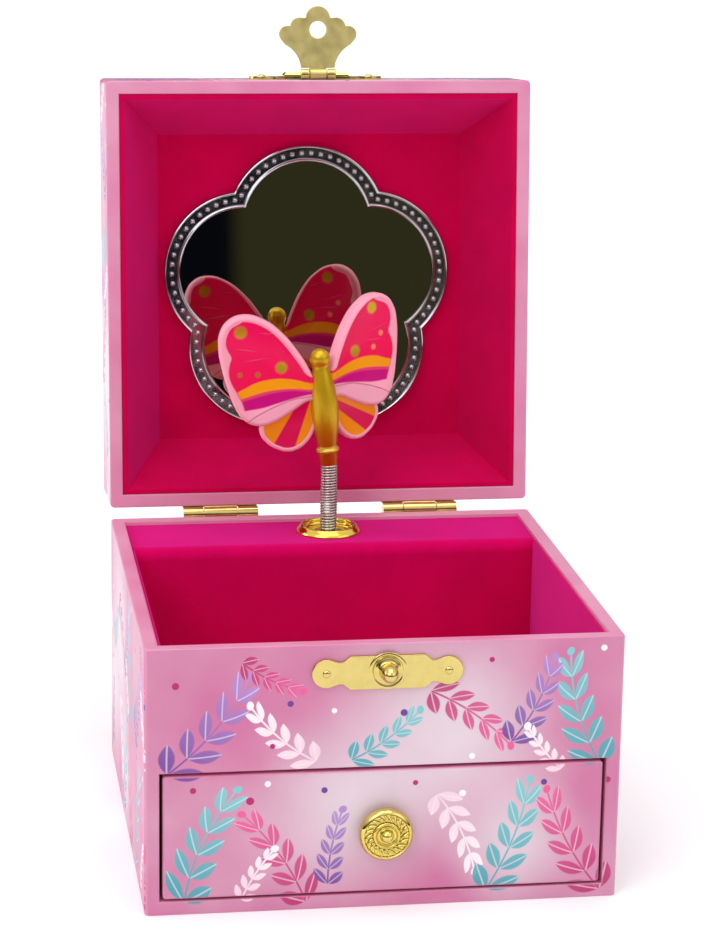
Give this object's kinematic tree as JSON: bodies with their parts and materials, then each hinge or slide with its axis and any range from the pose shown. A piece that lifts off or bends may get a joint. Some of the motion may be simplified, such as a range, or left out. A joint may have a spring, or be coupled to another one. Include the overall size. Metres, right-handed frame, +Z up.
{
  "type": "musical jewellery box",
  "caption": "Square musical jewellery box with hinged mirror lid, lined tray, drawer, brass hasp and a winged figure that turns on a pop-up spring.",
  "frame": {"origin": "centre of the flat underside, at the height that it stands on", "axes": "+X to the right seen from the front, +Y to the back where the lid hinges and the key are, +Z up"},
  "size_m": [0.11, 0.1546, 0.1936],
  "materials": {
    "outer_paper": "fibreboard wrapped in satin pink printed paper",
    "inner_board": "plain thin board",
    "flock": "crimson flock on card",
    "shelf_flock": "magenta flock on a bent sheet",
    "brass_hardware": "polished brass plate",
    "mirror_trim": "bright silver plating with a row of beads",
    "mirror": "silvered glass",
    "figure_gold": "gold paint",
    "wing_paint": "bands of pink, magenta and orange paint",
    "spring_steel": "bright spring steel",
    "movement_brass": "plain brass",
    "movement_steel": "plain steel"
  },
  "bodies": {
    "box": {"front_rail": "outer_paper", "back_panel": "outer_paper", "left_side": "outer_paper", "right_side": "outer_paper", "base_panel": "outer_paper", "compartment_floor": "inner_board", "bay_partition": "inner_board", "movement_cover": "shelf_flock", "tray_lining": "flock", "figure_ring": "brass_hardware", "catch_plate": "brass_hardware", "catch_stud": "brass_hardware", "catch_nails": "brass_hardware", "hinge_pins": "brass_hardware", "hinge_box_nails": "brass_hardware", "left_hinge_box_leaf": "brass_hardware", "right_hinge_box_leaf": "brass_hardware", "movement_plate": "movement_brass", "movement_screws": "movement_steel", "comb": "spring_steel", "comb_screws": "movement_steel", "left_cylinder_bracket": "movement_steel", "right_cylinder_bracket": "movement_steel", "governor_bracket": "movement_steel", "spindle_bracket": "movement_steel"},
    "lid": {"lid_front": "outer_paper", "lid_back": "outer_paper", "lid_left": "outer_paper", "lid_right": "outer_paper", "lid_top": "outer_paper", "lid_lining": "flock", "mirror_frame": "mirror_trim", "mirror_glass": "mirror", "hasp_leaf": "brass_hardware", "hasp_nails": "brass_hardware", "hasp_pin": "brass_hardware", "hinge_lid_nails": "brass_hardware", "left_hinge_lid_leaf": "brass_hardware", "right_hinge_lid_leaf": "brass_hardware"},
    "hasp": {"hasp_flap": "brass_hardware"},
    "drawer": {"drawer_front": "outer_paper", "drawer_left_side": "inner_board", "drawer_right_side": "inner_board", "drawer_back": "inner_board", "drawer_bottom": "inner_board", "drawer_lining": "flock", "drawer_knob": "brass_hardware", "drawer_knob_screw": "movement_steel"},
    "key": {"winding_arbor": "movement_steel", "winding_key": "movement_steel"},
    "barrel": {"barrel": "movement_brass", "barrel_cap": "movement_brass", "mainspring": "spring_steel"},
    "cylinder": {"pinned_cylinder": "movement_brass"},
    "governor": {"governor": "movement_brass"},
    "spindle": {"spindle": "movement_steel"},
    "spring": {"pop_up_spring": "spring_steel"},
    "figure": {"figure_body": "figure_gold", "left_wing": "wing_paint", "right_wing": "wing_paint"}
  },
  "joints": [
    {"name": "lid_hinge", "type": "hinge", "parent": "box", "child": "lid", "pos_m": [0, 0.057, 0.06385], "axis": [1, 0, 0], "range_deg": [0, 95.4]},
    {"name": "hasp_hinge", "type": "hinge", "parent": "lid", "child": "hasp", "pos_m": [0, 0.07251, 0.17639], "axis": [1, 0, 0], "range_deg": [-60, 90]},
    {"name": "drawer_slide", "type": "slide", "parent": "box", "child": "drawer", "axis": [0, -1, 0], "range_m": [0, 0.06]},
    {"name": "key_wind", "type": "hinge", "parent": "box", "child": "key", "pos_m": [0, 0.055, 0.032], "axis": [0, -1, 0], "range_deg": [0, 1440]},
    {"name": "barrel_spin", "type": "hinge", "parent": "box", "child": "barrel", "pos_m": [0, 0.0345, 0.032], "axis": [0, 1, 0], "continuous": true},
    {"name": "cylinder_spin", "type": "hinge", "parent": "box", "child": "cylinder", "pos_m": [0.027, 0.042, 0.032], "axis": [1, 0, 0], "continuous": true},
    {"name": "governor_spin", "type": "hinge", "parent": "box", "child": "governor", "pos_m": [0.039, 0.0346, 0.032], "axis": [0, 0, 1], "continuous": true},
    {"name": "spindle_spin", "type": "hinge", "parent": "box", "child": "spindle", "pos_m": [0, 0.042, 0.0448], "axis": [0, 0, 1], "continuous": true},
    {"name": "figure_tilt", "type": "hinge", "parent": "box", "child": "spring", "pos_m": [0, 0.042, 0.07145], "axis": [1, 0, 0], "range_deg": [0, 100], "deforming": ["pop_up_spring"]},
    {"name": "figure_spin", "type": "hinge", "parent": "spring", "child": "figure", "pos_m": [0, 0.042, 0.08], "axis": [-0.0986, 0, 0.9951], "continuous": true}
  ],
  "couplings": [
    {"joint": "cylinder_spin", "follows": "barrel_spin", "ratio": 4},
    {"joint": "governor_spin", "follows": "barrel_spin", "ratio": 120},
    {"joint": "spindle_spin", "follows": "barrel_spin", "ratio": 4},
    {"joint": "figure_spin", "follows": "barrel_spin", "ratio": 4},
    {"joint": "figure_tilt", "follows": "lid_hinge", "ratio": 1.0482}
  ]
}
